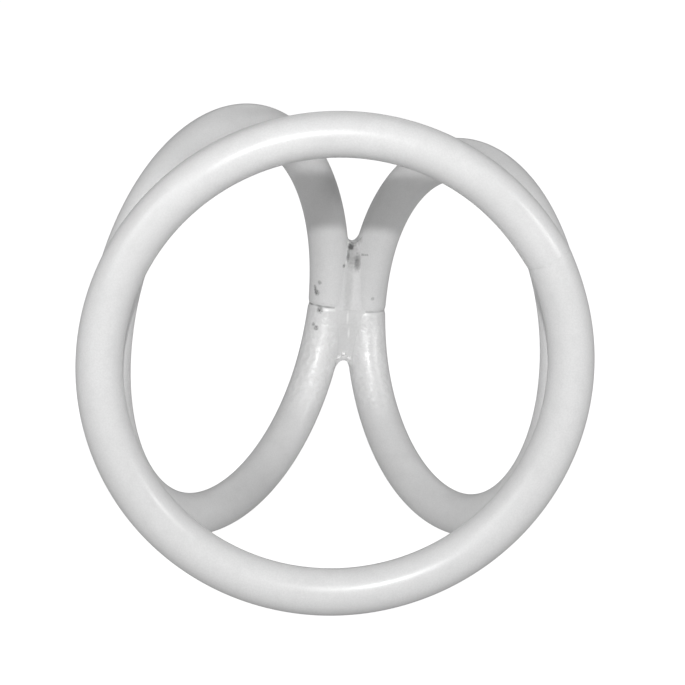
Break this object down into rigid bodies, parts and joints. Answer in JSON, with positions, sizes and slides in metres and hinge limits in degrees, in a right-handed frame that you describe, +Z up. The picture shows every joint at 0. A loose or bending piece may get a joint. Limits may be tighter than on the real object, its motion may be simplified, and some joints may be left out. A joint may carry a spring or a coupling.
{
  "type": "tubular hoop stand",
  "caption": "Round-tube hoops of graded size stood on edge in a closed triangle and welded side by side at mid-height.",
  "frame": {"origin": "on the floor, under the middle of the assembly's bounding box, with the part standing at rest on the lowest point of each hoop", "axes": "+Z up; -Y towards the side of the largest hoop; +X along that hoop, towards the smallest hoop"},
  "size_m": [0.3506, 0.3152, 0.3493],
  "materials": {
    "hoop_paint": "off-white satin powder coat over steel tube",
    "seam_paint": "off-white powder coat over a dressed weld",
    "weld_paint": "off-white powder coat over rough weld beads",
    "bare_steel": "bare drawn steel, hidden inside the tubes"
  },
  "bodies": {
    "root": {"front_hoop": "hoop_paint", "left_hoop": "hoop_paint", "right_hoop": "hoop_paint", "front_closing_weld": "seam_paint", "left_closing_weld": "seam_paint", "right_closing_weld": "seam_paint", "front_sleeve": "bare_steel", "left_sleeve": "bare_steel", "right_sleeve": "bare_steel", "rear_inner_upper_weld": "weld_paint", "rear_inner_lower_weld": "weld_paint", "rear_outer_weld": "weld_paint", "left_inner_weld": "weld_paint", "left_outer_weld": "weld_paint", "right_inner_weld": "weld_paint", "right_outer_weld": "weld_paint"}
  },
  "joints": []
}
